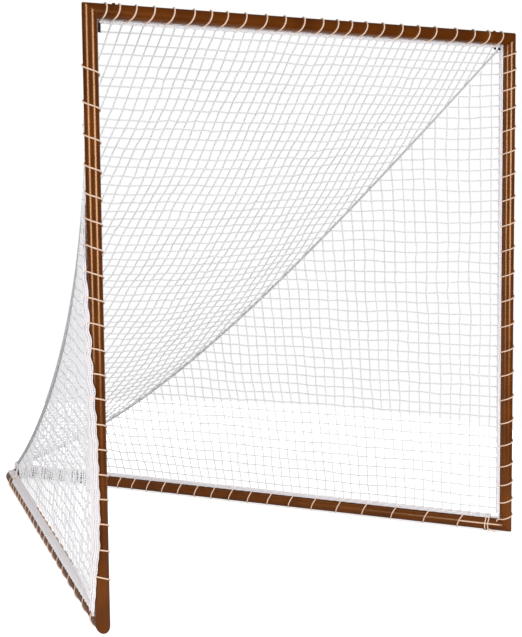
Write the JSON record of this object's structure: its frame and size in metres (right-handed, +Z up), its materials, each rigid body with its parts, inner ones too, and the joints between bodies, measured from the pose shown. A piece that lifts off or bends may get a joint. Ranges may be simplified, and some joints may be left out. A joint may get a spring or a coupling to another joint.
{
  "type": "field lacrosse goal",
  "caption": "Full-size goal: square mouth of mitred steel tube, two ground bars that meet in a bent tube at the rear, and a white net laced on all round.",
  "frame": {"origin": "on the ground, under the middle of the goal's bounding box", "axes": "+X to the right of the mouth seen from the front, +Y back towards the rear bend, +Z up"},
  "size_m": [1.8416, 2.0866, 1.8394],
  "materials": {
    "frame_paint": "gloss powder coat",
    "bare_steel": "zinc plated",
    "screw_steel": "zinc plated",
    "net_cord": "knotted polyester mesh",
    "border_rope": "twisted rope",
    "lacing": "braided cord",
    "dark_cord": "braided cord"
  },
  "bodies": {
    "root": {"left_post": "frame_paint", "right_post": "frame_paint", "crossbar": "frame_paint", "left_ground_bar": "frame_paint", "right_ground_bar": "frame_paint", "rear_bend": "frame_paint", "top_left_insert": "bare_steel", "top_right_insert": "bare_steel", "left_foot_insert": "bare_steel", "right_foot_insert": "bare_steel", "rear_left_sleeve": "bare_steel", "rear_right_sleeve": "bare_steel", "frame_screws": "screw_steel", "roof_net": "net_cord", "left_side_net": "net_cord", "right_side_net": "net_cord", "left_crease_cord": "net_cord", "right_crease_cord": "net_cord", "crossbar_border_rope": "border_rope", "left_post_border_rope": "border_rope", "right_post_border_rope": "border_rope", "left_ground_border_rope": "border_rope", "right_ground_border_rope": "border_rope", "rear_knot": "border_rope", "left_post_lacing": "lacing", "right_post_lacing": "lacing", "crossbar_lacing": "lacing", "left_ground_lacing": "lacing", "right_ground_lacing": "lacing", "rear_tie": "lacing", "top_left_tie": "dark_cord", "top_right_tie": "dark_cord"}
  },
  "joints": []
}
